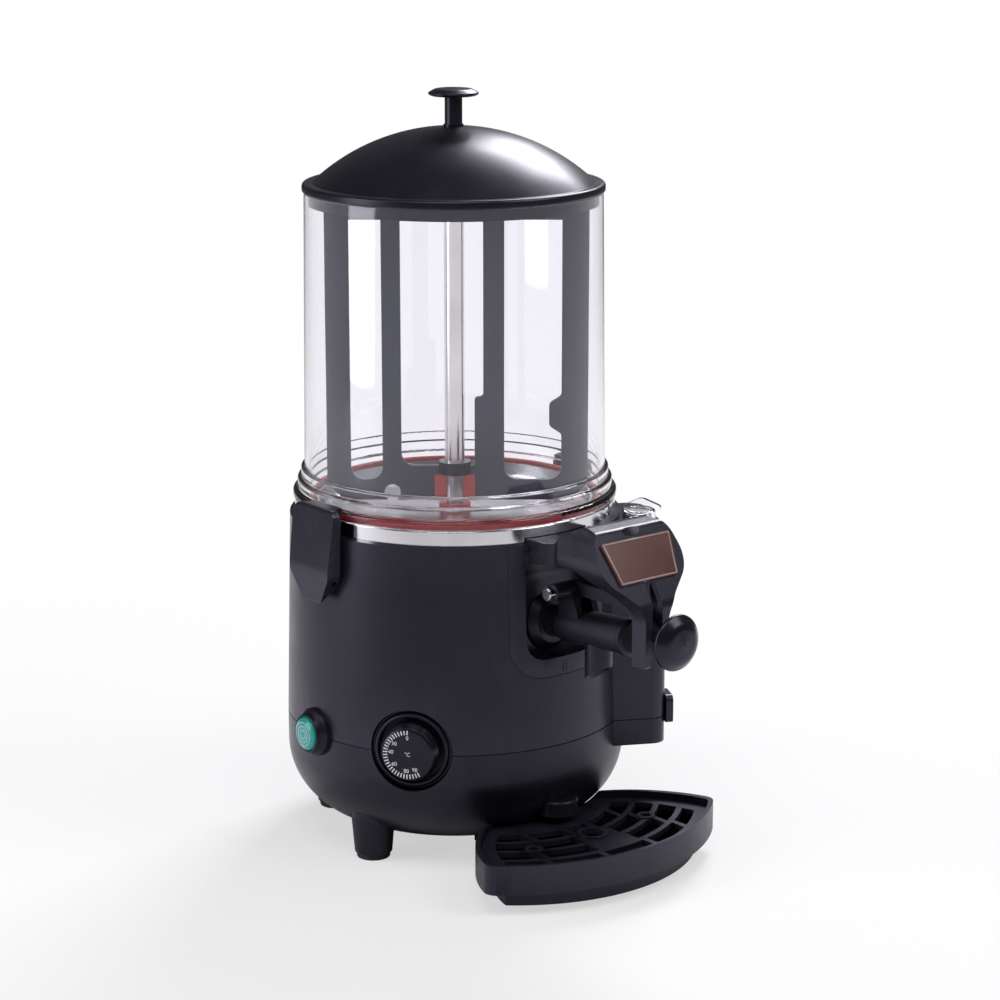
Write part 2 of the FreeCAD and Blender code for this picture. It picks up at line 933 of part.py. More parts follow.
def make_latch_brackets():
    brackets = []
    for azimuth in latch_azimuths:
        back = block(shell_top_radius - 8, shell_top_radius - 6, -bracket_half_width,
                     bracket_half_width, latch_pin_height - 9, latch_pin_height + 9)
        bracket = back.fuse([bracket_ear(side, 0) for side in (-1, 1)])
        bracket = bracket.cut(cross_rod(latch_pin_radius, -20, 20, latch_face - latch_pin_setback,
                                        latch_pin_height))
        brackets.append(at_azimuth(bracket, azimuth))
    return Part.makeCompound(brackets)


def make_latch_pins():
    pins = []
    for azimuth in latch_azimuths:
        half = bracket_half_width - 2.6
        pin = cross_rod(latch_pin_radius, -half, half, latch_face - latch_pin_setback, latch_pin_height)
        pins.append(at_azimuth(pin, azimuth))
    return Part.makeCompound(pins)


# Controls

def make_dial_collar():
    outer = dial_collar_radius
    inner = dial_collar_inner
    collar = outward_turn([
        (108, inner),
        (dial_face - dial_depth - 1.5, inner, 0.8),
        (dial_face - dial_depth - 1.5, outer - 3.5, 2.0),
        (dial_face - dial_depth - 5.0, outer - 2.5, 1.0),
        (dial_face - dial_depth - 5.0, outer - running_gap, 1.5),
        (108, outer - running_gap),
    ], dial_height)
    floor = outward_rod(inner, 116, 118.5, dial_height)
    collar = collar.fuse(floor.cut(outward_rod(dial_spindle_radius + 1, 110, 125, dial_height)))
    collar = at_azimuth(collar, dial_azimuth)
    return collar.common(shell_section(-40, 60, 140)).cut(shell_section(22, 60, 140))


def make_thermostat_dial():
    back = dial_face - dial_depth
    dial = outward_turn([
        (back, 0),
        (back, dial_rim_radius, 1.0),
        (back + 2.5, dial_rim_radius, 1.0),
        (dial_face - 1.0, dial_radius, 1.0),
        (dial_face, dial_radius - 2.0),
        (dial_face, 0),
    ], dial_height)
    skirt = outward_rod(dial_spindle_radius + 3, back - 8, back, dial_height)
    bore = outward_rod(dial_spindle_radius + running_gap, back - 9, back + 2, dial_height)
    dial = dial.fuse(skirt).cut(bore)
    return at_azimuth(dial, dial_azimuth)


def make_thermostat_body():
    back = dial_face - dial_depth
    body = block(94, 112, -17, 17, dial_height - 17, dial_height + 17)
    spindle = outward_rod(dial_spindle_radius, 112, back - 0.5, dial_height)
    return at_azimuth(body.fuse(spindle), dial_azimuth)


def make_switch_bezel():
    face = switch_face - 6.0
    bore = switch_button_radius + loose_gap
    bezel = outward_turn([
        (110, bore),
        (face + 3, bore, 0.8),
        (face + 3, bore + 1.8, 0.8),
        (face, bore + 2.6, 0.8),
        (face - 3.5, switch_bezel_radius - running_gap, 2.0),
        (110, switch_bezel_radius - running_gap),
    ], switch_height)
    return at_azimuth(bezel, switch_azimuth)


def make_switch_button():
    button = outward_turn([
        (switch_face - 14, 0),
        (switch_face - 14, switch_button_radius),
        (switch_face - 2.0, switch_button_radius, 2.0),
        (switch_face, switch_button_radius - 4.0, 5.0),
        (switch_face, 0),
    ], switch_height)
    return at_azimuth(button, switch_azimuth)


def make_switch_body():
    front = switch_face - 14 - switch_travel - 1.0
    body = outward_rod(switch_button_radius - 1, front - 24, front, switch_height)
    return at_azimuth(body, switch_azimuth)


# Heating parts

def make_heating_element():
    tank_low = shell_top_height + band_height - tank_depth + tank_wall
    height = tank_low + heater_height_above_tank
    loop = Part.makeTorus(heater_circle_radius, heater_rod_radius, V(0, 0, height), UP)
    legs = [upright(heater_rod_radius, tank_low, height, -heater_circle_radius, y) for y in (-8, 8)]
    return loop.fuse(legs)


def make_thermostat_bulb():
    tank_low = shell_top_height + band_height - tank_depth + tank_wall
    bulb = Part.makeCylinder(3.0, 60, V(-30, 36, tank_low + 8), V(1, 0, 0))
    return bulb.fuse(upright(3.0, tank_low, tank_low + 8, 0, 36))


def make_overheat_cutout():
    tank_low = shell_top_height + band_height - tank_depth
    return upright(9.0, tank_low - 9, tank_low, 40, 40)


# Tap, built along +X and turned to the front

def tap_line(distance):
    return tap_root_height + math.tan(math.radians(tap_tilt)) * (distance - tap_root_distance)


def tilt(shape):
    turned = shape.copy()
    turned.rotate(V(tap_root_distance, 0, tap_root_height), V(0, 1, 0), -tap_tilt)
    return turned


def make_tap_body():
    start = tap_root_distance
    step = start + tap_step_length
    stop = start + tap_length
    outer = outward_turn([
        (start, 0),
        (start, tap_root_radius),
        (step - 1.5, tap_root_radius, 0.4),
        (step - 1.5, tap_root_radius - 0.7),
        (step, tap_root_radius - 0.7),
        (step, tap_barrel_radius, 1.0),
        (stop - 6, tap_barrel_radius),
        (stop - 6, 0),
    ], tap_root_height)
    outer = tilt(outer)
    spout_height = tap_line(spout_distance)
    spout = upright(spout_radius, spout_low, spout_height, spout_distance)
    ears = []
    for side_sign in (-1, 1):
        near = lever_thickness / 2 + 1.2
        left, right = sorted((side_sign * near, side_sign * pivot_boss_reach))
        ears.append(cross_rod(pivot_boss_radius, left, right, pivot_distance, pivot_height))
        web_left, web_right = sorted((side_sign * near, side_sign * (near + 5.5)))
        ears.append(side_slab([
            (pivot_distance - 9, tap_line(pivot_distance) + 6),
            (pivot_distance + 16, tap_line(pivot_distance) + 6),
            (pivot_distance + 6.5, pivot_height),
            (pivot_distance - 6.5, pivot_height),
        ], 40).common(block(100, 200, web_left, web_right, 150, 260)))
    body = outer.fuse([spout] + ears)
    bore = tilt(outward_rod(piston_radius + loose_gap, start - 1, stop + 1, tap_root_height))
    spout_bore = upright(spout_radius - spout_wall, spout_low - 1, spout_height, spout_distance)
    cut_block = block(-60, 60, -60, 60, -60, 0)
    cut_block.rotate(CENTRE, V(0, 1, 0), -spout_cut_angle)
    cut_block.translate(V(spout_distance, 0, spout_low + 7))
    lever_slot = block(pivot_distance - 7, pivot_distance + 18, -finger_radius - 1.0, finger_radius + 1.0,
                       tap_line(pivot_distance), pivot_height + 8)
    pin_bore = cross_rod(pivot_pin_radius, -40, 40, pivot_distance, pivot_height)
    cutter = cut_block.common(upright(spout_radius + 5, 100, 175, spout_distance))
    return at_azimuth(body.cut([bore, spout_bore, lever_slot, pin_bore, cutter]), 0)


def make_tap_end_cap():
    stop = tap_root_distance + tap_length
    cap = outward_turn([
        (stop - 6, 0),
        (stop - 6, tap_barrel_radius + 0.9, 0.8),
        (stop - 1.5, tap_barrel_radius + 0.9, 1.2),
        (stop, tap_barrel_radius - 2.0),
        (stop, 0),
    ], tap_root_height)
    return at_azimuth(tilt(cap), 0)


def make_tap_piston():
    start = tap_root_distance + 6
    piston = outward_rod(piston_radius - 0.3, start, start + piston_length, tap_root_height)
    groove_half = finger_radius + finger_gap
    groove = outward_turn([
        (pivot_distance - groove_half, 3.6),
        (pivot_distance + groove_half, 3.6),
        (pivot_distance + groove_half, piston_radius + 2),
        (pivot_distance - groove_half, piston_radius + 2),
    ], tap_root_height)
    flow = outward_turn([
        (start + 42, 4.0),
        (start + piston_length - 6, 4.0),
        (start + piston_length - 6, piston_radius + 2),
        (start + 42, piston_radius + 2),
    ], tap_root_height)
    seal_grooves = [outward_turn([(x - 1.3, piston_radius - 2.0), (x + 1.3, piston_radius - 2.0),
                                  (x + 1.3, piston_radius + 2), (x - 1.3, piston_radius + 2)],
                                 tap_root_height) for x in (start + 4, start + piston_length - 3)]
    return at_azimuth(tilt(piston.cut([groove, flow] + seal_grooves)), 0)


def make_piston_seals():
    start = tap_root_distance + 6
    seals = []
    for x in (start + 4, start + piston_length - 3):
        seals.append(at_azimuth(tilt(Part.makeTorus(piston_radius - 0.8, 1.0, V(x, 0, tap_root_height),
                                                    V(1, 0, 0))), 0))
    return Part.makeCompound(seals)


def make_port_ring():
    collar = outward_turn([
        (109.5, tap_root_radius + loose_gap),
        (118, tap_root_radius + loose_gap),
        (118, tap_root_radius + 5.0, 2.0),
        (112, tap_root_radius + 11.0, 3.0),
        (109.5, tap_root_radius + 11.0),
    ], tap_root_height)
    return at_azimuth(tilt(collar), 0)


def make_front_panel():
    high = shell_top_height
    frame = front_slab(panel_outline(panel_half_width - loose_gap, panel_low + loose_gap,
                                     panel_corner_radius - loose_gap, high), 90, 150)
    skin = shell_section(0.3, panel_low - 5, high).cut(
        shell_section(panel_thickness - 0.2, panel_low - 6, high + 1))
    frame = at_azimuth(frame, 0).common(skin)
    opening = at_azimuth(front_slab(panel_outline(panel_inner_half_width - 1.5, panel_inner_low + 1.5,
                                                  panel_inner_corner_radius - 1.5, high - 4),
                                    90, 150), 0)
    frame = frame.cut(opening)
    cup_wall = 2.0
    cup_depth = 19.0
    cup_outer = front_slab(panel_outline(panel_inner_half_width - 1.0, panel_inner_low + 1.0,
                                         panel_inner_corner_radius - 1.0, high - panel_head - 0.2),
                           128 - cup_depth, 150)
    cup_inner = side_slab([
        (128 - cup_depth + cup_wall, panel_inner_low + 2.8),
        (170, panel_inner_low + 2.8),
        (170, high - 6),
        (124, high - 6),
        (128 - cup_depth + cup_wall, high - 30, 14.0),
    ], 80).common(front_slab(panel_outline(panel_inner_half_width - 3.0, panel_inner_low + 3.0,
                                           panel_inner_corner_radius - 3.0, high - 6.2), 90, 180))
    cup = at_azimuth(cup_outer.cut(cup_inner), 0).common(shell_section(0.3, 100, high))
    port = at_azimuth(tilt(outward_rod(tap_root_radius + 11.4, 90, 140, tap_root_height)), 0)
    panel = frame.fuse(cup).cut(port).removeSplitter()
    marks = [block(shell_top_radius, shell_top_radius + 10, side * panel_mark_gap - 0.3,
                   side * panel_mark_gap + 0.3, panel_low + 2.0, panel_inner_low - 2.0) for side in (-1, 1)]
    cut_marks = [at_azimuth(mark, 0).cut(shell_section(0.9, 100, high)) for mark in marks]
    return panel.cut(cut_marks)


# Hood

def hood_side(offset):
    """Side view of the hood, at an offset inwards for its hollow."""
    lean = math.tan(math.radians(hood_lean))
    top = hood_top_height - offset
    face_top = hood_face_top_distance - offset / math.cos(math.radians(hood_lean))
    face_low_height = hood_face_low_height
    face_low = face_top + lean * (top - face_low_height)
    back_top = shell_top_radius - 11.4
    neck_end = back_top + hood_neck_length - 10
    neck_top = shell_top_height + 4.5 - offset
    neck_low = hood_top_height - 41.0 - 3 * offset
    return [
        (back_top, neck_top - 1),
        (neck_end, neck_top, 24.0),
        (face_top - 16, top, hood_roll_radius),
        (face_top + 1.0, top - 2.0, 6.0),
        (face_low, face_low_height, 12.0),
        (face_low - 1, stem_low_height - 2 * offset, 2.0),
        (face_low - stem_depth + offset, stem_low_height - 2 * offset, 1.5),
        (face_low - stem_depth + offset, face_low_height - 6, 4.0),
        (face_top - hood_back_depth + 4, neck_low + 11, 12.0),
        (back_top, neck_low),
    ]


def hood_front(offset):
    """Front view of the hood: a shield that runs down into a narrow stem."""
    half = hood_half_width - offset
    top = hood_top_height + 2 - offset
    stem = stem_half_width - offset
    cheek = hood_top_height - 22.0
    jaw = hood_face_low_height + 4.0
    low = stem_low_height - 3 * offset - 3
    right = [
        (stem, low),
        (stem, jaw - 6.0, 30.0),
        (half + 0.5, cheek - 8.0, 20.0 - offset),
        (half - 7, top - 2.0, 18.0 - offset),
        (0, top + 3.0, 90.0),
    ]
    left = [(-point[0],) + point[1:] for point in reversed(right[:-1])]
    return right + left


def hood_plan(offset):
    """Top view of the hood: a narrow neck that opens to the head."""
    back = shell_top_radius - 27.4
    neck = hood_neck_half_width - offset
    head = hood_half_width + 5 - offset
    neck_end = back + 16 + hood_neck_length
    right = [
        (back, neck),
        (neck_end, neck, 14.0),
        (neck_end + 14 + offset, head, 10.0),
        (2 * back + 100, head),
    ]
    left = [(point[0], -point[1]) + point[2:] for point in reversed(right)]
    return right + left


def hood_body(offset):
    body = side_slab(hood_side(offset), hood_half_width + 5).common(front_slab(hood_front(offset), 80, 270))
    return body.common(slab(hood_plan(offset), stem_low_height - 20, hood_top_height + 10))


def make_tap_hood():
    hood = hood_body(0).cut(hood_body(hood_wall))
    slot = block(200, 260, -slot_half_width, slot_half_width, stem_low_height - 20, slot_top_height)
    low = block(170, 212, -slot_half_width - 2, slot_half_width + 2,
                stem_low_height - 20, slot_top_height - 10)
    hood = at_azimuth(hood.cut([slot, low]), 0)
    hood = hood.cut(on_hood_face(Part.makeSphere(dimple_sphere, V(dimple_sphere - dimple_depth, 0, 0)), -dimple_rise))
    hood = hood.cut(shell_section(0.0, 150, shell_top_height).fuse(
        upright(jar_flange_radius + loose_gap, shell_top_height, 300)))
    return max(hood.Solids, key=lambda solid: solid.Volume)


def on_hood_face(shape, down):
    """Carry a shape drawn in the YZ plane, thickness along +X, on to the leaning face."""
    placed = shape.copy()
    placed.rotate(CENTRE, V(0, 1, 0), -hood_lean)
    lean = math.radians(hood_lean)
    out = hood_face_top_distance + math.sin(lean) * down
    height = hood_top_height - math.cos(lean) * down
    placed.translate(V(out, 0, height))
    return at_azimuth(placed, 0)


def make_badge_plate():
    top = badge_top_width / 2
    low = badge_bottom_width / 2
    plate = front_slab([
        (-top, 0, 2.0),
        (-low, -badge_height, 2.0),
        (low, -badge_height, 2.0),
        (top, 0, 2.0),
    ], 0, badge_thickness)
    return on_hood_face(plate, badge_top_distance_down)


# Lever

def make_tap_lever():
    half = lever_thickness / 2
    hub = cross_rod(pivot_boss_radius, -half, half, pivot_distance, pivot_height)
    neck = lever_knob_distance - 16
    arm = side_slab([
        (pivot_distance, pivot_height + 6),
        (204, pivot_height + 6, 8.0),
        (neck - 6, lever_knob_height + 8, 3.0),
        (neck, lever_knob_height + 5),
        (neck, lever_knob_height - 5),
        (neck - 14, lever_knob_height - 5, 3.0),
        (202, pivot_height - 3, 6.0),
        (pivot_distance, pivot_height - 4),
    ], half)
    shank = outward_rod(4.5, neck - 2, lever_knob_distance, lever_knob_height)
    finger_low = tap_line(pivot_distance) + 4.4
    finger = block(pivot_distance - finger_radius, pivot_distance + finger_radius,
                   -finger_radius, finger_radius, finger_low, pivot_height)
    lever = hub.fuse([arm, shank, finger])
    lever = lever.cut(cross_rod(pivot_pin_radius + running_gap, -20, 20, pivot_distance, pivot_height))
    return at_azimuth(lever, 0)


def make_lever_knob():
    back = lever_knob_distance
    front = back + lever_knob_thickness
    knob = outward_turn([
        (back - 6, 0),
        (back - 6, 7.0, 1.0),
        (back, 8.0, 2.0),
        (back + 2, lever_knob_radius - 2.5, 2.0),
        (back + 4.5, lever_knob_radius, 2.5),
        (front - 1.5, lever_knob_radius - 8, 12.0),
        (front, 0),
    ], lever_knob_height)
    knob = knob.cut(outward_rod(4.5, back - 7, back, lever_knob_height))
    return at_azimuth(knob, 0)


def make_lever_pivot_pin():
    reach = pivot_boss_reach
    pin = cross_rod(pivot_pin_radius, -reach - 6, reach, pivot_distance, pivot_height)
    head = cross_rod(pivot_pin_radius + 1.2, -reach - 5, -reach, pivot_distance, pivot_height)
    return at_azimuth(pin.fuse(head), 0)


# Filler and inlet

def make_filler_neck():
    flange = 3.0
    neck = spin([
        (filler_radius - 5, box_high - box_wall),
        (filler_radius - 3, box_high - box_wall),
        (filler_radius - 3, box_high),
        (filler_radius, box_high),
        (filler_radius, box_high + flange, 0.8),
        (filler_radius - 3, box_high + flange),
        (filler_radius - 3, box_high + flange + filler_neck_height, 0.5),
        (filler_radius - 5, box_high + flange + filler_neck_height, 0.5),
    ])
    neck.translate(V(filler_out, -filler_along, 0))
    return at_azimuth(neck, box_azimuth)


def make_filler_cap():
    low = box_high + 3.0 + loose_gap
    high = low + filler_cap_height
    inside = filler_radius - 3 + loose_gap
    cap = spin([
        (0, high - 2.2),
        (inside, high - 2.2),
        (inside, low),
        (filler_radius, low, 0.8),
        (filler_radius, high, 2.0),
        (0, high),
    ])
    wing = side_slab([
        (-filler_radius + 1, high - 1),
        (filler_radius + 4, high - 1, 2.0),
        (filler_radius + 4, high + 3, 2.0),
        (2, high + 9, 8.0),
        (-filler_radius + 1, high + 2, 3.0),
    ], 2.0)
    cap = cap.fuse(wing)
    cap.rotate(CENTRE, UP, -25)
    cap.translate(V(filler_out, -filler_along, 0))
    return at_azimuth(cap, box_azimuth)


def make_power_inlet():
    half = inlet_width / 2
    low = inlet_low
    high = low + inlet_height
    housing = front_slab([(-half, low, 3.0), (half, low, 3.0), (half, high, 5.0), (-half, high, 5.0)],
                         box_reach, box_reach + inlet_depth)
    recess = front_slab([(-half + 2.5, low + 2.5, 1.5), (half - 2.5, low + 2.5, 1.5),
                         (half - 2.5, high - 2.5, 3.5), (-half + 2.5, high - 2.5, 3.5)],
                        box_reach + 1, box_reach + inlet_depth + 1)
    pins = [block(box_reach + 0.5, box_reach + inlet_depth - 1, y - 1.0, y + 1.0,
                  (low + high) / 2 - 2, (low + high) / 2 + 2) for y in (-6, 0, 6)]
    inlet = housing.cut(recess).fuse(pins)
    inlet.translate(V(0, -inlet_along, 0))
    return at_azimuth(inlet, box_azimuth)


# Drip tray, built with its front along +X

def leaf_solid(inset, low, high):
    """Leaf of a front arc and a back arc that meet in two rounded corners."""
    front = tray_front_distance - inset
    corner = tray_corner_distance
    half = tray_half_width - 2.2 * inset
    back = tray_back_distance + inset
    sag = front - corner
    front_radius = (sag * sag + half * half) / (2 * sag)
    back_sag = corner - back
    back_radius = (back_sag * back_sag + half * half) / (2 * back_sag)
    front_disc = upright(front_radius, low, high, front - front_radius)
    back_disc = upright(back_radius, low, high, back + back_radius)
    leaf = front_disc.common(back_disc)
    edges = [edge for edge in leaf.Edges if abs(edge.Vertexes[0].Z - edge.Vertexes[-1].Z) > 1]
    sharp = [edge for edge in edges if abs(abs(edge.Vertexes[0].Y) - half) < 1]
    return leaf.makeFillet(max(tray_corner_radius - inset, 2.0), sharp)


def make_drip_tray():
    step_height = tray_rim_height - tray_upper_depth
    tray = leaf_solid(0, step_height, tray_rim_height)
    tray = tray.fuse(leaf_solid(tray_step_inset, tray_low, step_height))
    upper_room = leaf_solid(tray_wall, step_height + tray_wall, tray_rim_height + 1)
    lower_room = leaf_solid(tray_step_inset + tray_wall, tray_low + tray_wall, step_height + tray_wall + 1)
    tray = tray.cut(upper_room.fuse(lower_room))
    return at_azimuth(tray, 0).removeSplitter()


def grid_slots(low, high):
    """Curved slots in rows that follow the front edge, parted by short bars like bricks."""
    sag = tray_front_distance - tray_corner_distance
    sweep = (sag * sag + tray_half_width * tray_half_width) / (2 * sag)
    centre = tray_front_distance - sweep
    field = leaf_solid(tray_wall + grid_edge, low, high)
    slots = []
    for row, (start, walls) in enumerate(grid_row_walls):
        outer = sweep - tray_wall - grid_edge - grid_pitch * row
        band = ring(outer - grid_pitch + grid_bar, outer, low, high)
        band.translate(V(centre, 0, 0))
        band = band.common(field).common(block(centre + 20, 260, -150, 150, low, high))
        cuts = [block(0, 260, -start, start, low, high)] if start else []
        for wall in walls:
            for side in (-1, 1):
                cuts.append(block(0, 260, side * wall - grid_bar / 2, side * wall + grid_bar / 2, low, high))
        slots.append(band.cut(cuts) if cuts else band)
    return slots


def make_drip_grid():
    high = tray_rim_height - grid_recess
    low = high - grid_thickness
    grid = leaf_solid(tray_wall + loose_gap, low, high)
    grid = grid.cut(grid_slots(low - 1, high + 1))
    bosses = []
    for distance, across, radius in ((grid_ring_distance, 0.0, grid_ring_radius),
                                     (grid_hole_distance, grid_hole_across, grid_hole_radius),
                                     (grid_hole_distance, -grid_hole_across, grid_hole_radius)):
        grid = grid.cut(upright(radius + 2.5, low - 1, high + 1, distance, across))
        boss = ring(radius, radius + 3.0, low, high + 0.8)
        boss.translate(V(distance, across, 0))
        bosses.append(boss)
    return at_azimuth(grid.fuse(bosses), 0)


def make_tray_bracket():
    """A shelf from the base's underside that the tray stands on, and the round boss above its back."""
    top = tray_low - running_gap
    low = top - tray_shelf_thickness
    half = tray_shelf_half_width
    shelf = slab([
        (base_foot_radius - 20, -half),
        (tray_shelf_reach, -half, 10.0),
        (tray_shelf_reach, half, 10.0),
        (base_foot_radius - 20, half),
    ], low, top)
    riser = block(base_foot_radius - 20, base_foot_radius - 12, -half, half, low, base_bottom_height)
    boss_low = tray_rim_height + 2 * loose_gap
    boss = spin([
        (0, boss_low),
        (tray_boss_radius, boss_low),
        (tray_boss_radius, boss_low + tray_boss_height, 2.0),
        (0, boss_low + tray_boss_height),
    ])
    boss.translate(V(tray_boss_distance, 0, 0))
    return at_azimuth(Part.makeCompound([shelf.fuse(riser), boss.cut(base_keep_out(0))]), 0)


def base_keep_out(gap):
    return spin([
        (0, base_bottom_height - gap),
        (base_foot_radius, base_bottom_height - gap, base_under_radius),
        (seam_radius + gap, base_bottom_height + base_corner_rise - gap, base_corner_radius + gap),
        (seam_radius + gap, seam_height + 20),
        (0, seam_height + 20),
    ])


def build():
    room = base_keep_out(loose_gap)
    parts = {
        "lid": make_lid(),
        "lid_knob": make_lid_knob(),
        "lid_knob_screw": make_lid_knob_screw(),
        "jar": make_jar(),
        "jar_gasket": make_jar_gasket(),
        "tank_rim_band": make_tank_band(),
        "water_tank": make_water_tank(),
        "product_pan": make_product_pan(),
        "outlet_elbow": make_outlet_elbow(),
        "column_tube": make_column_tube(),
        "column_seal": make_column_seal(),
        "stirrer_tube": at_azimuth(make_stirrer_tube(), 90),
        "stirrer_collar": make_stirrer_collar(),
        "stirrer_paddles": at_azimuth(make_stirrer_paddles(), stirrer_azimuth),
        "stirrer_scrapers": at_azimuth(make_stirrer_scrapers(), stirrer_azimuth),
        "drive_shaft": make_drive_shaft(),
        "drive_cap": make_drive_cap(),
        "shaft_coupling": make_shaft_coupling(),
        "motor_plate": make_motor_plate(),
        "motor_plate_posts": make_motor_plate_posts(),
        "motor_screws": make_motor_screws(),
        "gearbox": make_gearbox(),
        "motor_case": make_motor_case(),
        "upper_shell": make_upper_shell(),
        "base_shell": make_base_shell(),
        "bottom_cover": make_bottom_cover(),
        "legs": make_legs(),
        "foot_pads": make_foot_pads(),
        "leg_screws": make_leg_screws(),
        "latch_left": make_latch(latch_azimuths[0]),
        "latch_right": make_latch(latch_azimuths[1]),
        "latch_brackets": make_latch_brackets(),
        "latch_pins": make_latch_pins(),
        "dial_collar": make_dial_collar(),
        "thermostat_dial": make_thermostat_dial(),
        "thermostat_body": make_thermostat_body(),
        "switch_bezel": make_switch_bezel(),
        "switch_button": make_switch_button(),
        "switch_body": make_switch_body(),
        "heating_element": make_heating_element(),
        "thermostat_bulb": make_thermostat_bulb(),
        "overheat_cutout": make_overheat_cutout(),
        "tap_body": make_tap_body(),
        "tap_end_cap": make_tap_end_cap(),
        "tap_piston": make_tap_piston(),
        "piston_seals": make_piston_seals(),
        "port_ring": make_port_ring(),
        "front_panel": make_front_panel(),
        "tap_hood": make_tap_hood(),
        "badge_plate": make_badge_plate(),
        "tap_lever": make_tap_lever(),
        "lever_knob": make_lever_knob(),
        "lever_pivot_pin": make_lever_pivot_pin(),
        "filler_neck": make_filler_neck(),
        "filler_cap": make_filler_cap(),
        "power_inlet": make_power_inlet(),
        "drip_tray": make_drip_tray().cut(room),
        "drip_grid": make_drip_grid().cut(room),
        "tray_bracket": make_tray_bracket(),
    }
    return parts


os.makedirs("parts", exist_ok=True)
pieces = build()
bounds = Part.makeCompound(list(pieces.values())).optimalBoundingBox()
to_origin = V(-bounds.Center.x, -bounds.Center.y, -bounds.ZMin)
print("moved to the middle of the footprint by", [round(value, 3) for value in to_origin])
for name, shape in pieces.items():
    shape.translate(to_origin)
    shape.exportStep("parts/" + name + ".step")
    print(name, len(shape.Solids), round(shape.Volume, 1), shape.isValid())
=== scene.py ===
# %% [markdown]
# A countertop hot chocolate dispenser.
# The real machine is a clear jar on a round black body, with a lever tap under a hood.
# The construction comes ready made from the frame, and this lesson dresses it:
# camera first, then the studio, then one finish after another, then the small pieces.

# %% Load the frame
import math
import bmesh
import bpy
from mathutils import Matrix, Vector


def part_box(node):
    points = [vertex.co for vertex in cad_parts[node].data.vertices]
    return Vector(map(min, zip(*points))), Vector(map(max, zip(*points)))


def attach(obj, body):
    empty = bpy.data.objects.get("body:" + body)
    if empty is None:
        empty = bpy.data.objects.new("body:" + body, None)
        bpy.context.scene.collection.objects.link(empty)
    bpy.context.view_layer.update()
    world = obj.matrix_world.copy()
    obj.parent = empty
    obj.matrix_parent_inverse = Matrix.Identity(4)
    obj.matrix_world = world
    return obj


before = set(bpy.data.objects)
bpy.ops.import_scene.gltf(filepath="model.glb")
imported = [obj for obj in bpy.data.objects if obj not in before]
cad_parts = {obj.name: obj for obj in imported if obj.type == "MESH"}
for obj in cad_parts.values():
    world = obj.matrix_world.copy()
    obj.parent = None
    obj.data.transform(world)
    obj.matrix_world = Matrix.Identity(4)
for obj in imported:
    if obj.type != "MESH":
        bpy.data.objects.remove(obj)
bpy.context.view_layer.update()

# %% [markdown]
# Everything round on the machine shares one upright axis, so places are given as
# an azimuth from the front, a distance out from that axis and a height.
# Reading the axis from the jar keeps the pieces in place if the model is rebuilt.

# %% Places round the body axis
jar_low, jar_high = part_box("jar")
AXIS = Vector(((jar_low.x + jar_high.x) / 2, (jar_low.y + jar_high.y) / 2, 0))


def directions(azimuth):
    """Outward and sideways directions at an azimuth in degrees, positive to +X."""
    turn = math.radians(azimuth)
    return Vector((math.sin(turn), -math.cos(turn), 0)), Vector((math.cos(turn), math.sin(turn), 0))


def around(azimuth, out, height, along=0.0):
    outward, sideways = directions(azimuth)
    return AXIS + outward * out + sideways * along + Vector((0, 0, height))

print("body axis at", [round(value, 4) for value in AXIS])

# %% [markdown]
# The photograph was taken from the machine's left front, a little above the tap,
# with a longish lens. The camera stands on that line and looks just beside the axis.

# %% Camera
VIEW_AZIMUTH = -40.0
VIEW_TILT = math.radians(13.68)
VIEW_DISTANCE = 2.150
LENS = 100.1
LOOK_HEIGHT = 0.2601
LOOK_ASIDE = 0.0348

to_camera, camera_right = directions(VIEW_AZIMUTH)
target = AXIS + camera_right * LOOK_ASIDE + Vector((0, 0, LOOK_HEIGHT))
rise = Vector((0, 0, math.sin(VIEW_TILT)))
stand = target + VIEW_DISTANCE * (math.cos(VIEW_TILT) * to_camera + rise)

camera_data = bpy.data.cameras.new("camera")
camera_data.lens = LENS
camera_data.sensor_width = 36.0
camera = bpy.data.objects.new("camera", camera_data)
bpy.context.collection.objects.link(camera)
camera.location = stand
camera.rotation_euler = (target - stand).to_track_quat("-Z", "Y").to_euler()
bpy.context.scene.camera = camera
print("camera at", [round(value, 3) for value in stand])

# %% [markdown]
# Shader sums read best as plain expressions. One small class wraps a socket, and the
# operators add Math nodes. A second holds a material and adds any other node by its type.

# %% Shader helpers
class Wire:
    """A value on its way through a material."""

    def __init__(self, paint, socket):
        self.paint = paint
        self.socket = socket

    def sum(self, operation, first, second):
        return self.paint.add("Math", {"operation": operation}, [first, second])

    def __add__(self, other):
        return self.sum("ADD", self, other)

    def __radd__(self, other):
        return self.sum("ADD", other, self)

    def __sub__(self, other):
        return self.sum("SUBTRACT", self, other)

    def __rsub__(self, other):
        return self.sum("SUBTRACT", other, self)

    def __mul__(self, other):
        return self.sum("MULTIPLY", self, other)

    def __rmul__(self, other):
        return self.sum("MULTIPLY", other, self)

    def __truediv__(self, other):
        return self.sum("DIVIDE", self, other)

    def __rtruediv__(self, other):
        return self.sum("DIVIDE", other, self)


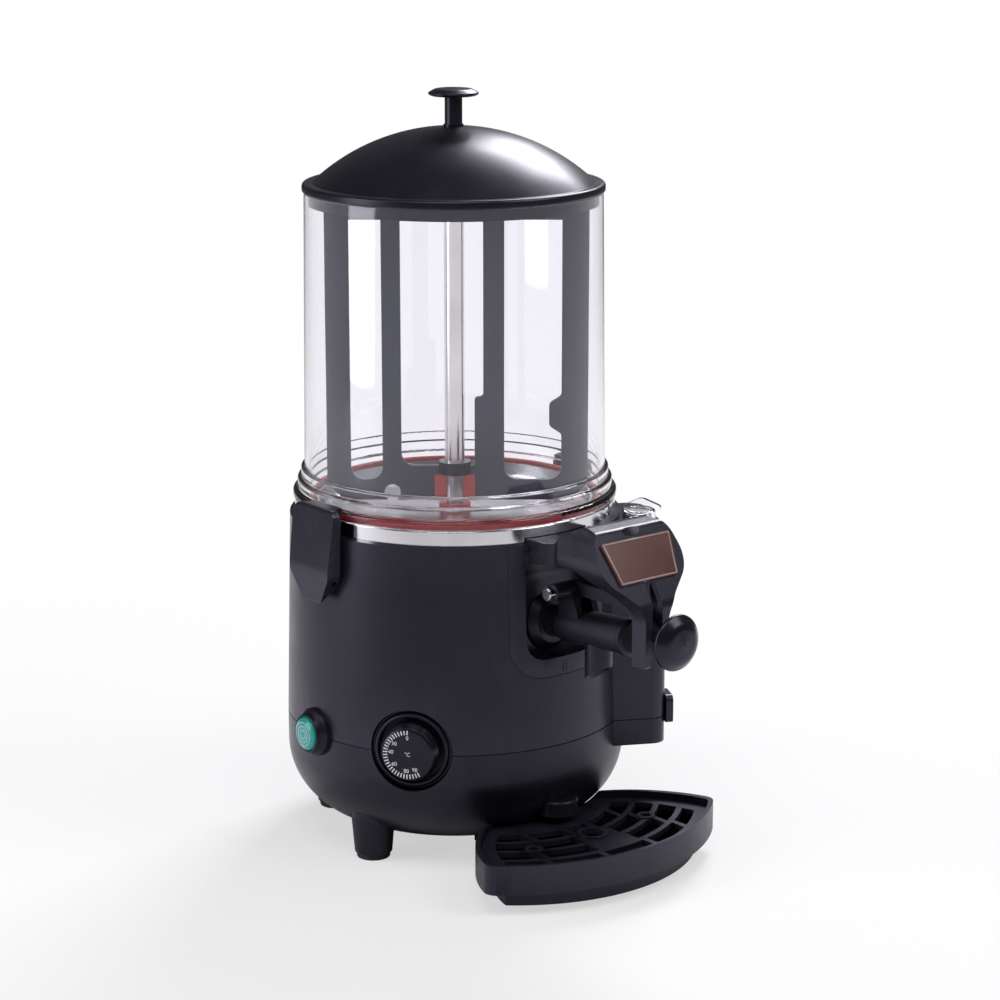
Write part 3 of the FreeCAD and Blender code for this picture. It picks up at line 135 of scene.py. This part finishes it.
class Paint:
    """A material, filled in node by node."""

    def __init__(self, name):
        self.material = bpy.data.materials.new(name)
        self.material.use_nodes = True
        self.tree = self.material.node_tree
        self.shader = self.tree.nodes["Principled BSDF"]

    def add(self, kind, settings=None, inputs=None, output=0):
        node = self.tree.nodes.new("ShaderNode" + kind)
        for key, value in (settings or {}).items():
            setattr(node, key, value)
        pairs = inputs.items() if isinstance(inputs, dict) else enumerate(inputs or [])
        for key, value in pairs:
            self.feed(node.inputs[key], value)
        return Wire(self, node.outputs[output])

    def feed(self, socket, value):
        if isinstance(value, Wire):
            self.tree.links.new(value.socket, socket)
        else:
            socket.default_value = value

    def set(self, **values):
        for key, value in values.items():
            self.feed(self.shader.inputs[key.replace("_", " ")], value)
        return self

    def place(self):
        return self.add("TexCoord", output=3)

    def noise(self, scale, detail=4.0, roughness=0.55, stretch=None):
        vector = self.place()
        if stretch:
            vector = self.add("Mapping", inputs={"Vector": vector, "Scale": stretch})
        return self.add("TexNoise", inputs={"Vector": vector, "Scale": scale, "Detail": detail,
                                            "Roughness": roughness})

    def between(self, factor, first, second):
        return self.add("Mix", {"data_type": "RGBA"}, {0: factor, 6: first, 7: second}, output=2)

    def stepped(self, value, low, high, to_low=0.0, to_high=1.0):
        return self.add("MapRange", inputs={"Value": value, "From Min": low, "From Max": high,
                                            "To Min": to_low, "To Max": to_high})

    def bump(self, height, distance, strength=1.0):
        return self.add("Bump", inputs={"Strength": strength, "Distance": distance, "Height": height})

    def edges(self, low=0.5, high=0.6):
        return self.stepped(self.add("NewGeometry", output=7), low, high)

print("helpers ready")

# %% [markdown]
# Satin black moulding covers most of the machine. Real moulded plastic is never one flat
# black: it has a fine spark-eroded grain, cloudy gloss where hands wipe it and a bluish
# cast in its sheen. Its edges are a touch shinier, and a painted highlight makes them paler.

# %% Black plastics
BLACK = (0.0045, 0.0042, 0.0072, 1)
BLACK_PALE = (0.0080, 0.0074, 0.0120, 1)
# Paler lilac black, painted on the convex edges as a highlight.
BLACK_EDGE_HIGHLIGHT = (0.030, 0.028, 0.040, 1)


def moulded_plastic(name, gloss_low, gloss_high, grain=0.00003, grain_scale=1500.0):
    paint = Paint(name)
    clouds = paint.noise(9.0, 5.0)
    wiped = paint.noise(38.0, 3.0)
    grains = paint.noise(grain_scale, 2.0)
    painted_edge_highlight = paint.edges(0.52, 0.62)
    body = paint.between(paint.stepped(clouds, 0.35, 0.65), BLACK, BLACK_PALE)
    # Painted highlight: the edges are mixed halfway towards the paler lilac black.
    colour = paint.between(painted_edge_highlight * 0.5, body, BLACK_EDGE_HIGHLIGHT)
    roughness = paint.stepped(wiped, 0.3, 0.7, gloss_low, gloss_high) + grains * 0.04 - painted_edge_highlight * 0.05
    paint.set(Base_Color=colour, Roughness=roughness, Normal=paint.bump(grains, grain),
              IOR=1.46, Specular_Tint=(0.80, 0.77, 1.0, 1))
    return paint.material

satin_black = moulded_plastic("satin_black", 0.26, 0.33)
soft_black = moulded_plastic("soft_black", 0.32, 0.42, 0.00005, 1100.0)
smooth_black = moulded_plastic("smooth_black", 0.20, 0.27, 0.00001)
print("black plastics made")

# %% [markdown]
# Steel: the tank band and the stirrer tube are polished by turning, so the faint marks
# run round or along them. Stretching the noise along one axis gives those marks.

# %% Steels
def steel(name, colour, dull, gloss_low, gloss_high, stretch, depth=0.00001):
    paint = Paint(name)
    lines = paint.noise(420.0, 3.0, stretch=stretch)
    smears = paint.noise(14.0, 4.0)
    tone = paint.between(paint.stepped(smears, 0.3, 0.7), colour, dull)
    roughness = paint.stepped(smears, 0.3, 0.7, gloss_low, gloss_high) + lines * 0.04
    paint.set(Base_Color=tone, Roughness=roughness, Metallic=1.0, Normal=paint.bump(lines, depth))
    return paint.material

ROUND_MARKS = (1, 1, 14)
LONG_MARKS = (14, 14, 0.5)
polished_steel = steel("polished_steel", (0.80, 0.79, 0.80, 1), (0.68, 0.67, 0.69, 1), 0.07, 0.14,
                       ROUND_MARKS)
tube_steel = steel("tube_steel", (0.76, 0.74, 0.73, 1), (0.62, 0.60, 0.59, 1), 0.10, 0.18, LONG_MARKS)
plain_steel = steel("plain_steel", (0.52, 0.52, 0.54, 1), (0.42, 0.42, 0.43, 1), 0.20, 0.32, ROUND_MARKS)
zinc_steel = steel("zinc_steel", (0.5, 0.5, 0.5, 1), (0.38, 0.38, 0.37, 1), 0.35, 0.5, (1, 1, 1), 0.00004)
print("steels made")

# %% [markdown]
# The jar is clear polycarbonate with a faint lavender cast. It is a real wall here, so a
# transmitting shader bends the light as the jar does, and fine scuffs keep it from
# looking like air.

# %% Clear plastics
SCUFF_DARKENING = 0.985


def clear_plastic(name, tint, gloss, scuff):
    paint = Paint(name)
    scuffs = paint.noise(60.0, 6.0, 0.7)
    ripples = paint.noise(22.0, 2.0, stretch=(1, 1, 0.25))
    scuffed = (tint[0] * SCUFF_DARKENING, tint[1] * SCUFF_DARKENING, tint[2], 1)
    tone = paint.between(paint.stepped(scuffs, 0.4, 0.8), tint, scuffed)
    paint.set(Base_Color=tone, Roughness=paint.stepped(scuffs, 0.45, 0.8, gloss, gloss + scuff),
              Transmission_Weight=1.0, IOR=1.46, Normal=paint.bump(ripples, 0.0002, 0.35))
    return paint.material

clear_jar = clear_plastic("clear_jar", (0.965, 0.955, 0.988, 1), 0.01, 0.04)
clear_cap = clear_plastic("clear_cap", (0.95, 0.95, 0.97, 1), 0.03, 0.06)
print("clear plastics made")

# %% [markdown]
# Coloured pieces: red silicone seals, the blue grey stirrer, the brown badge plate,
# the green switch lens, rubber feet and the cream housings inside the body.

# %% Coloured materials
def coloured(name, colour, pale, gloss_low, gloss_high, grain, scale=900.0):
    paint = Paint(name)
    clouds = paint.noise(30.0, 4.0)
    grains = paint.noise(scale, 2.0)
    painted_edge_highlight = paint.edges(0.52, 0.62)
    # Painted highlight: the edges are mixed part way towards the paler colour, along with the random
    # clouds.
    tone = paint.between(paint.stepped(clouds, 0.3, 0.7) * 0.6 + painted_edge_highlight * 0.3, colour, pale)
    paint.set(Base_Color=tone, Roughness=paint.stepped(clouds, 0.3, 0.7, gloss_low, gloss_high),
              Normal=paint.bump(grains, grain))
    return paint

red_silicone = coloured("red_silicone", (0.42, 0.045, 0.05, 1), (0.52, 0.09, 0.09, 1),
                        0.38, 0.5, 0.00005).material
stirrer_grey = coloured("stirrer_grey", (0.040, 0.042, 0.066, 1), (0.056, 0.059, 0.088, 1),
                        0.34, 0.44, 0.00004).material
black_rubber = coloured("black_rubber", (0.012, 0.012, 0.012, 1), (0.025, 0.025, 0.025, 1),
                        0.6, 0.75, 0.0001).material
cream_plastic = coloured("cream_plastic", (0.55, 0.5, 0.38, 1), (0.62, 0.58, 0.46, 1),
                         0.4, 0.5, 0.00005).material
badge_brown = coloured("badge_brown", (0.100, 0.038, 0.032, 1), (0.135, 0.055, 0.046, 1),
                       0.16, 0.24, 0.00001).material
badge_edge = coloured("badge_edge", (0.36, 0.25, 0.24, 1), (0.46, 0.34, 0.32, 1),
                      0.2, 0.3, 0.00001).material
lens_paint = coloured("green_lens", (0.010, 0.24, 0.20, 1), (0.02, 0.34, 0.29, 1), 0.12, 0.2, 0.00002)
lens_paint.set(Emission_Color=(0.02, 0.60, 0.50, 1), Emission_Strength=0.10)
green_lens = lens_paint.material
lens_ring = coloured("lens_ring", (0.30, 0.44, 0.50, 1), (0.42, 0.56, 0.62, 1),
                     0.15, 0.22, 0.00001).material
white_ink = coloured("white_ink", (0.78, 0.78, 0.8, 1), (0.85, 0.85, 0.86, 1), 0.4, 0.5, 0.00001).material
print("coloured materials made")

# %% [markdown]
# Each carried-over piece keeps its shape and takes the finish of the real piece.

# %% Finishes on the carried-over pieces
FINISHES = [
    (satin_black, "lid lid_knob upper_shell base_shell latch_left latch_right"),
    (satin_black, "front_panel tap_hood tray_bracket"),
    (soft_black, "drip_tray drip_grid legs tap_body tap_end_cap port_ring tap_lever"),
    (soft_black, "dial_collar switch_bezel bottom_cover power_inlet"),
    (smooth_black, "lever_knob thermostat_dial stirrer_collar drive_cap tap_piston"),
    (clear_jar, "jar"),
    (clear_cap, "filler_cap filler_neck"),
    (polished_steel, "tank_rim_band lever_pivot_pin"),
    (tube_steel, "stirrer_tube"),
    (plain_steel, "water_tank product_pan outlet_elbow column_tube drive_shaft heating_element"),
    (plain_steel, "thermostat_bulb lid_knob_screw latch_pins"),
    (zinc_steel, "motor_plate motor_plate_posts motor_screws leg_screws gearbox motor_case shaft_coupling"),
    (zinc_steel, "latch_brackets overheat_cutout"),
    (red_silicone, "jar_gasket column_seal stirrer_scrapers piston_seals"),
    (stirrer_grey, "stirrer_paddles"),
    (green_lens, "switch_button"),
    (badge_brown, "badge_plate"),
    (black_rubber, "foot_pads"),
    (cream_plastic, "thermostat_body switch_body"),
]
dressed = 0
for finish, names in FINISHES:
    for name in names.split():
        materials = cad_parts[name].data.materials
        materials.clear()
        materials.append(finish)
        dressed += 1
print(dressed, "pieces dressed")

# %% [markdown]
# The thermostat dial is printed with white ticks and numbers. Each tick is a slim raised
# bar on the dial's face, and the numbers are small raised text that turns with the dial.

# %% Dial marks
DIAL_AZIMUTH = -54.0
dial_low, dial_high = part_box("thermostat_dial")
DIAL_HEIGHT = (dial_low.z + dial_high.z) / 2
DIAL_FACE = 0.1396
TICK_SPAN = 210.0
TICK_COUNT = 28
TICK_OUTER = 0.0187
TICK_LENGTH = 0.0034
TICK_WIDTH = 0.0009
PRINT_RISE = 0.0002


def add_piece(name, mesh, material, body):
    piece = bpy.data.objects.new(name, mesh)
    bpy.context.collection.objects.link(piece)
    mesh.materials.clear()
    mesh.materials.append(material)
    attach(piece, body)
    return piece


def face_frame(azimuth, out, height):
    """Matrix whose X runs to the viewer's right, Y up and Z outwards, for a front at an azimuth."""
    outward, sideways = directions(azimuth)
    up = Vector((0, 0, 1))
    matrix = Matrix((sideways, up, outward)).transposed().to_4x4()
    matrix.translation = around(azimuth, out, height)
    return matrix


def add_bar(mesh, matrix, size):
    """Slim bar with softened edges, added to a mesh under way."""
    made = bmesh.ops.create_cube(mesh, size=1.0, matrix=matrix @ Matrix.Diagonal((*size, 1)))
    edges = {edge for vert in made["verts"] for edge in vert.link_edges}
    bmesh.ops.bevel(mesh, geom=list(edges), offset=min(size) * 0.25, segments=2, affect="EDGES")


dial_frame = face_frame(DIAL_AZIMUTH, DIAL_FACE, DIAL_HEIGHT)
ticks = bmesh.new()
for index in range(TICK_COUNT):
    turn = math.radians(TICK_SPAN * index / (TICK_COUNT - 1))
    spot = Matrix.Rotation(turn, 4, "Z") @ Matrix.Translation((0, TICK_OUTER - TICK_LENGTH / 2, 0))
    add_bar(ticks, dial_frame @ spot, (TICK_WIDTH, TICK_LENGTH, 2 * PRINT_RISE))
ticks_mesh = bpy.data.meshes.new("dial_ticks")
ticks.to_mesh(ticks_mesh)
ticks.free()
add_piece("dial_ticks", ticks_mesh, white_ink, "dial")
print(TICK_COUNT, "dial ticks")

# %% [markdown]
# The numbers run the same way as the ticks. The middle carries the degree sign and a C.

# %% Dial numbers
NUMBERS = [("0", 0.0), ("30", 52.0), ("40", 84.0), ("60", 128.0), ("80", 176.0), ("90", 206.0)]
NUMBER_CIRCLE = 0.0128
NUMBER_SIZE = 0.0042


def add_print(name, words, matrix, size, body):
    """Raised text turned into a mesh, so that it travels with its body."""
    text = bpy.data.curves.new(name, "FONT")
    text.body = words
    text.size = size
    text.align_x = "CENTER"
    text.align_y = "CENTER"
    text.extrude = PRINT_RISE
    maker = bpy.data.objects.new(name + "_maker", text)
    bpy.context.collection.objects.link(maker)
    bpy.context.view_layer.update()
    shape = bpy.data.meshes.new_from_object(maker.evaluated_get(bpy.context.evaluated_depsgraph_get()))
    bpy.data.objects.remove(maker)
    shape.transform(matrix)
    return add_piece(name, shape, white_ink, body)

for words, degrees in NUMBERS:
    turn = math.radians(degrees)
    spot = Matrix.Translation((-math.sin(turn) * NUMBER_CIRCLE, math.cos(turn) * NUMBER_CIRCLE, 0))
    add_print("dial_number_" + words, words, dial_frame @ spot, NUMBER_SIZE, "dial")
add_print("dial_degrees", "°C", dial_frame, NUMBER_SIZE, "dial")
print(len(NUMBERS), "numbers and the sign")

# %% [markdown]
# The lit switch has three fine rings on its lens. Each is a low rounded bead, sunk into
# the face at the depth where a probe from outside meets it.

# %% Switch rings
SWITCH_AZIMUTH = -93.0
switch_low, switch_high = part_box("switch_button")
SWITCH_HEIGHT = (switch_low.z + switch_high.z) / 2
SWITCH_FACE = AXIS.x - switch_low.x
RING_RADII = (0.0034, 0.0062, 0.0090)
BEAD_HALF_WIDTH = 0.0007
BEAD_HALF_HEIGHT = 0.00025
BEAD_SINK = 0.00015
PROBE_START = 0.02
ROUND_STEPS = 64
BEAD_STEPS = 10


def add_bead(mesh, matrix, radius, depth):
    """Low rounded ring about a front's middle."""
    loops = []
    for step in range(ROUND_STEPS):
        turn = 2 * math.pi * step / ROUND_STEPS
        loop = []
        for bead in range(BEAD_STEPS):
            bend = 2 * math.pi * bead / BEAD_STEPS
            reach = radius + math.cos(bend) * BEAD_HALF_WIDTH
            height = depth + math.sin(bend) * BEAD_HALF_HEIGHT
            place = Vector((math.cos(turn) * reach, math.sin(turn) * reach, height))
            loop.append(mesh.verts.new(matrix @ place))
        loops.append(loop)
    for step, loop in enumerate(loops):
        following = loops[(step + 1) % ROUND_STEPS]
        for bead in range(BEAD_STEPS):
            after = (bead + 1) % BEAD_STEPS
            mesh.faces.new((loop[bead], loop[after], following[after], following[bead])).smooth = True

rings = bmesh.new()
switch_frame = face_frame(SWITCH_AZIMUTH, SWITCH_FACE, SWITCH_HEIGHT)
inwards = -directions(SWITCH_AZIMUTH)[0]
for radius in RING_RADII:
    start = switch_frame @ Vector((radius, 0, PROBE_START))
    met, surface, _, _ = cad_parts["switch_button"].ray_cast(start, inwards)
    depth = (switch_frame.inverted() @ surface).z
    print("ring", radius, "lens found", met, "at", round(depth, 5))
    add_bead(rings, switch_frame, radius, depth - BEAD_SINK)
bmesh.ops.recalc_face_normals(rings, faces=rings.faces)
rings_mesh = bpy.data.meshes.new("switch_rings")
rings.to_mesh(rings_mesh)
rings.free()
add_piece("switch_rings", rings_mesh, lens_ring, "button")
print(len(RING_RADII), "switch rings")

# %% [markdown]
# The badge plate is bare brown with a paler bevelled border. The border follows the
# plate's own corners, read from the model, as a thin round tube.

# %% Badge border
FACING_LEAST = 0.5
FACE_TOLERANCE = 0.0001


def plate_corners(name):
    """The four corners of a flat leaning plate's outer face, from its mesh."""
    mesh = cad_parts[name].data
    outward, sideways = directions(0.0)
    facing = [side for side in mesh.polygons if side.normal.dot(outward) > FACING_LEAST]
    normal = max(facing, key=lambda side: side.area).normal
    front = max(vertex.co.dot(normal) for vertex in mesh.vertices)
    points = [vertex.co for vertex in mesh.vertices if vertex.co.dot(normal) > front - FACE_TOLERANCE]
    middle = sum(points, Vector()) / len(points)
    found = []
    for side, level in ((-1, 1), (-1, -1), (1, -1), (1, 1)):
        found.append(max(points, key=lambda point: (point - middle).dot(sideways) * side
                         + (point - middle).z * level).copy())
    return found

BORDER_RADIUS = 0.0008
BORDER_INSET = 0.0012
corners = plate_corners("badge_plate")
badge_middle = sum(corners, Vector()) / 4
border = bpy.data.curves.new("badge_border", "CURVE")
border.dimensions = "3D"
border.bevel_depth = BORDER_RADIUS
border.bevel_resolution = 2
line = border.splines.new("POLY")
line.points.add(3)
for point, corner in zip(line.points, corners):
    inward = (badge_middle - corner).normalized()
    point.co = (*(corner + inward * BORDER_INSET), 1)
line.use_cyclic_u = True
border_piece = bpy.data.objects.new("badge_border", border)
bpy.context.collection.objects.link(border_piece)
border.materials.append(badge_edge)
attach(border_piece, "machine")
print("badge border", [[round(value, 4) for value in corner] for corner in corners])

# %% [markdown]
# The surround is white to the camera and through the clear pieces. Rays that light the
# object see a dim room instead.

# %% World
ROOM_STRENGTH = 0.10
world = bpy.data.worlds.new("studio")
bpy.context.scene.world = world
world.use_nodes = True
sky = world.node_tree
path = sky.nodes.new("ShaderNodeLightPath")
seen = sky.nodes.new("ShaderNodeMath")
seen.operation = "MAXIMUM"
sky.links.new(path.outputs["Is Camera Ray"], seen.inputs[0])
sky.links.new(path.outputs["Is Transmission Ray"], seen.inputs[1])
dim = sky.nodes["Background"]
dim.inputs["Color"].default_value = (0.92, 0.90, 1.0, 1)
dim.inputs["Strength"].default_value = ROOM_STRENGTH
white = sky.nodes.new("ShaderNodeBackground")
white.inputs["Color"].default_value = (1, 1, 1, 1)
mixer = sky.nodes.new("ShaderNodeMixShader")
sky.links.new(seen.outputs[0], mixer.inputs[0])
sky.links.new(dim.outputs[0], mixer.inputs[1])
sky.links.new(white.outputs[0], mixer.inputs[2])
sky.links.new(mixer.outputs[0], sky.nodes["World Output"].inputs[0])
print("world set")

# %% [markdown]
# Four lamps: a tall one at the left gives the long soft edge on the body, a broad one
# high behind gives the patch of light on the lid, and two weaker ones fill the front.

# %% Lamps
LAMP_AIM = AXIS + Vector((0, 0, 0.28))


def soft_lamp(name, azimuth, elevation, distance, size, power, tint):
    lamp = bpy.data.lights.new(name, "AREA")
    lamp.shape = "RECTANGLE"
    lamp.size, lamp.size_y = size
    lamp.energy = power
    lamp.color = tint
    holder = bpy.data.objects.new(name, lamp)
    bpy.context.collection.objects.link(holder)
    outward, _ = directions(azimuth)
    lift = math.radians(elevation)
    holder.location = LAMP_AIM + distance * (outward * math.cos(lift) + Vector((0, 0, math.sin(lift))))
    holder.rotation_euler = (LAMP_AIM - holder.location).to_track_quat("-Z", "Y").to_euler()

soft_lamp("left_lamp", -112, 18, 1.8, (0.8, 1.7), 15, (0.97, 0.96, 1.0))
soft_lamp("back_lamp", 116, 43, 2.0, (0.8, 0.8), 34, (0.97, 0.96, 1.0))
soft_lamp("right_lamp", 28, 42, 1.9, (0.9, 0.9), 12, (1.0, 0.99, 1.0))
soft_lamp("front_lamp", -48, 60, 2.1, (1.4, 1.0), 14, (1.0, 0.99, 1.0))
print("four lamps set")

# %% [markdown]
# The floor is white card. Near the machine it is partly lit by the lamps, so it keeps
# the shadow, and it fades to plain white further off.

# %% Floor
FLOOR_REACH = 40.0
SHADOW_NEAR = 0.30
SHADOW_FAR = 0.95
SHADOW_SHARE = 0.42
floor_mesh = bpy.data.meshes.new("floor")
floor_corners = [(-FLOOR_REACH, -FLOOR_REACH, 0), (FLOOR_REACH, -FLOOR_REACH, 0),
                 (FLOOR_REACH, FLOOR_REACH, 0), (-FLOOR_REACH, FLOOR_REACH, 0)]
floor_mesh.from_pydata(floor_corners, [], [(0, 1, 2, 3)])
floor = bpy.data.objects.new("floor", floor_mesh)
bpy.context.collection.objects.link(floor)
card = Paint("white_card")
fibres = card.noise(300.0, 3.0)
card.set(Base_Color=card.between(card.stepped(fibres, 0.3, 0.7), (0.86, 0.86, 0.87, 1), (0.9, 0.9, 0.9, 1)),
         Roughness=0.9)
spread = card.add("VectorMath", {"operation": "LENGTH"}, [card.place()], output=1)
lit_share = card.stepped(spread, SHADOW_NEAR, SHADOW_FAR, SHADOW_SHARE, 0.0)
to_eye = card.add("LightPath")
through_jar = card.add("LightPath", output=6)
plain_share = (1.0 - lit_share) * to_eye.sum("MAXIMUM", to_eye, through_jar)
glow = card.add("Emission", inputs={"Color": (1, 1, 1, 1), "Strength": 1.0})
mixed = card.add("MixShader", inputs={0: plain_share, 1: Wire(card, card.shader.outputs[0]), 2: glow})
card.tree.links.new(mixed.socket, card.tree.nodes["Material Output"].inputs[0])
floor_mesh.materials.append(card.material)
print("floor laid")

# %% [markdown]
# The last cell sets the view transform.

# %% Finish
bpy.context.scene.view_settings.view_transform = "Standard"
